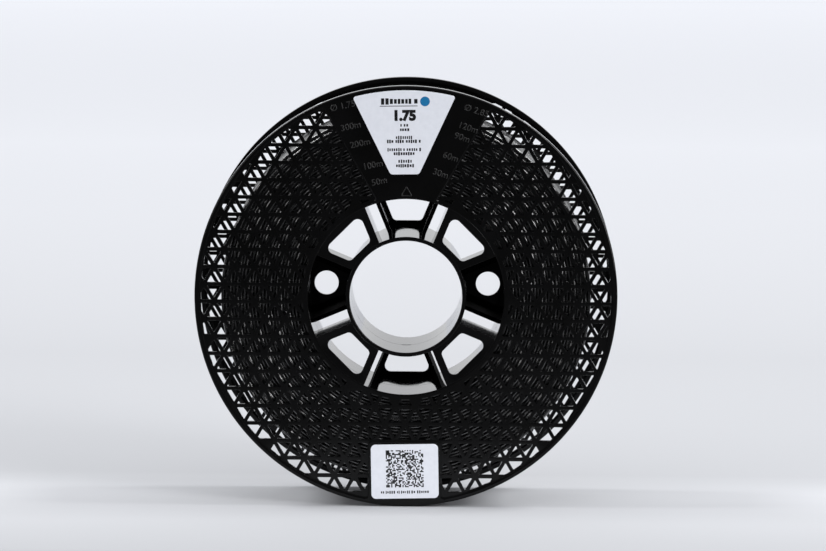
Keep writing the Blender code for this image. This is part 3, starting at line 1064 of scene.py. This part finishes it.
def main_print_mesh():
    rng = random.Random(5)
    bm = bmesh.new()
    add_word_line(bm, rng, *HEADING, True)
    add_ink(bm, rectangle(*UNDERLINE))
    for z, width, bold in LINES:
        add_word_line(bm, rng, 0, z, width, LINE_SIZE, bold)
    thickness = 2 * INK_THICKNESS
    add_text(bm, "1.75", 0, NUMBER_HEIGHT, NUMBER_SIZE, 0, LABEL_FRONT, thickness, NUMBER_WEIGHT)
    return finished_mesh(bm, "main_print")


def disc_mesh():
    bm = bmesh.new()
    add_ink(bm, shifted(circle(DISC_RADIUS, 32), *DISC_PLACE))
    return finished_mesh(bm, "disc")


def lot_print_mesh():
    """A square field of random cells, which encodes nothing, and a line of blocks under it."""
    rng = random.Random(9)
    bm = bmesh.new()
    cell = FIELD_SIDE / FIELD_CELLS
    ink = cell * CELL_SHARE
    for row in range(FIELD_CELLS):
        for column in range(FIELD_CELLS):
            if rng.random() < 0.5:
                x = (column + 0.5) * cell - FIELD_SIDE / 2
                z = (row + 0.5) * cell - FIELD_SIDE / 2 + FIELD_HEIGHT
                add_ink(bm, rectangle(x, z, ink, ink))
    add_word_line(bm, rng, *FIELD_LINE, False)
    return finished_mesh(bm, "lot_print")


def stuck(place_at, turn):
    """Where a sticker, modelled round the origin, sits on the front face."""
    x, z = place_at
    return Matrix.Translation((x, 0, z)) @ Matrix.Rotation(-turn, 4, "Y")


def build_stickers():
    paper = label_paper()
    black = print_ink("print_black", (0.004, 0.004, 0.005), (0.009, 0.009, 0.010))
    blue = print_ink("print_blue", (0.010, 0.130, 0.300), (0.014, 0.160, 0.350))
    main_place, lot_place = stuck(LABEL_PLACE, LABEL_TURN), stuck(LOT_PLACE, LOT_TURN)
    lot = rounded(rectangle(0, 0, *LOT_SIZE), LOT_CORNER, None, 6)
    for name, mesh, finish, matrix, nodes in (
        ("main_sticker", sticker_mesh(main_label_outline()), paper, main_place, ("main_label",)),
        ("main_sticker_print", main_print_mesh(), black, main_place, ()),
        ("main_sticker_disc", disc_mesh(), blue, main_place, ()),
        ("lot_sticker", sticker_mesh(lot), paper, lot_place, ("lot_label",)),
        ("lot_sticker_print", lot_print_mesh(), black, lot_place, ()),
    ):
        place(name, mesh, finish, "front_half", matrix, nodes)


# The studio.


FLOOR_Z = -RADIUS
FLOOR_HALF_SIZE = 12.0
FLOOR_TINT = (0.97, 0.985, 1.03)
# The floor's colour level by its distance behind the object's middle, in metres: painted light falling off
# in front, a painted shadow band just behind the object, and brighter far away.
FLOOR_PAINTED_LEVELS = (
    (-1.0, 0.02), (-0.30, 0.10), (-0.17, 0.34), (-0.05, 0.40), (0.01, 0.455), (0.07, 0.355), (0.26, 0.38),
    (0.56, 0.405), (0.94, 0.495), (1.42, 0.62), (2.06, 0.77), (4.2, 0.98),
)
WORLD_TINT = (0.97, 0.98, 1.0)
# The surround's brightness by its direction's Y, from in front (-1) to behind (1).
WORLD_LEVELS = ((-1.0, 0.01), (-0.92, 0.01), (-0.75, 0.75), (-0.30, 1.0), (0.3, 0.98), (1.0, 0.98))
# Each light's place, size and power. All of them aim at the object's middle.
LIGHTS = {
    "key": ((1.65, -1.80, 1.15), (0.9, 0.9), 30),
    "key_low": ((1.90, -1.65, 0.35), (0.9, 0.7), 18),
    "key_left": ((-1.50, -1.80, 0.70), (0.8, 0.8), 7),
    "left": ((-1.05, 0.05, 1.40), (0.5, 0.5), 19),
    "right": ((1.05, 0.05, 1.40), (0.5, 0.5), 21),
}
CAMERA_AT = Vector((0.0256, -2.5675, 0.2802))
CAMERA_TARGET = Vector((0.0033, FACE_Y, 0.0103))
CAMERA_LENS = 235.3
CAMERA_ROLL = math.radians(0.38)


def build_floor():
    bm = bmesh.new()
    corners = ((-1, -1), (1, -1), (1, 1), (-1, 1))
    bm.faces.new([bm.verts.new((x * FLOOR_HALF_SIZE, y * FLOOR_HALF_SIZE, FLOOR_Z)) for x, y in corners])
    mesh = bpy.data.meshes.new("studio_floor")
    bm.to_mesh(mesh)
    bm.free()
    mesh.materials.append(floor_painted_light_and_shade())
    floor = bpy.data.objects.new("studio_floor", mesh)
    bpy.context.scene.collection.objects.link(floor)


def build_camera():
    data = bpy.data.cameras.new("camera")
    data.lens = CAMERA_LENS
    data.sensor_width = 36
    data.clip_start, data.clip_end = 0.05, 100
    camera = bpy.data.objects.new("camera", data)
    bpy.context.scene.collection.objects.link(camera)
    look = (CAMERA_TARGET - CAMERA_AT).to_track_quat("-Z", "Y").to_matrix().to_4x4()
    camera.matrix_world = Matrix.Translation(CAMERA_AT) @ look @ Matrix.Rotation(CAMERA_ROLL, 4, "Z")
    bpy.context.scene.camera = camera


def area_light(name, at, size, power):
    data = bpy.data.lights.new(name, "AREA")
    data.shape = "RECTANGLE"
    data.size, data.size_y = size
    data.energy = power
    lamp = bpy.data.objects.new(name, data)
    bpy.context.scene.collection.objects.link(lamp)
    lamp.location = at
    lamp.rotation_mode = "QUATERNION"
    lamp.rotation_quaternion = (-Vector(at)).to_track_quat("-Z", "Y")


def build_world():
    """A soft surround: a dark patch of room in front, a bright ring round it, even elsewhere."""
    world = bpy.data.worlds.new("studio")
    bpy.context.scene.world = world
    world.use_nodes = True
    nodes, links = world.node_tree.nodes, world.node_tree.links
    background = nodes["Background"]
    background.inputs["Color"].default_value = (*WORLD_TINT, 1)
    level = tones_along_y(nodes, links, "Generated", WORLD_LEVELS)
    links.new(level, background.inputs["Strength"])


def build_studio():
    build_floor()
    build_camera()
    build_world()
    for name, (at, size, power) in LIGHTS.items():
        area_light(name, at, size, power)
    bpy.context.scene.view_settings.view_transform = "Standard"


def build_spool():
    meshes = {
        "flange": flange_mesh(),
        "barrel": barrel_mesh(),
        "bore_tube": bore_tube_mesh(),
        "window": plate_mesh(window_outline()),
        "hole": plate_mesh(round_hole_outline()),
        "upper_rib": rib_mesh(1),
        "lower_rib": rib_mesh(-1),
        "wide_upper_rib": rib_mesh(1, RIB_EXTRA),
        "wide_lower_rib": rib_mesh(-1, RIB_EXTRA),
        "marks": marks_mesh(),
    }
    # The raised marks' finish has a paler colour as painted highlight; the rear hub walls' finish has a
    # darker colour as painted shade.
    plastic, raised, shaded_wall_finish = spool_plastic(), raised_plastic_painted_highlight(), rib_plastic_painted_shade()
    build_half("front", meshes, FRONT_PLATES, plastic, raised, shaded_wall_finish)
    build_half("rear", meshes, REAR_PLATES, plastic, raised, shaded_wall_finish)


build_spool()
build_winding(filament_plastic())
build_stickers()
build_studio()
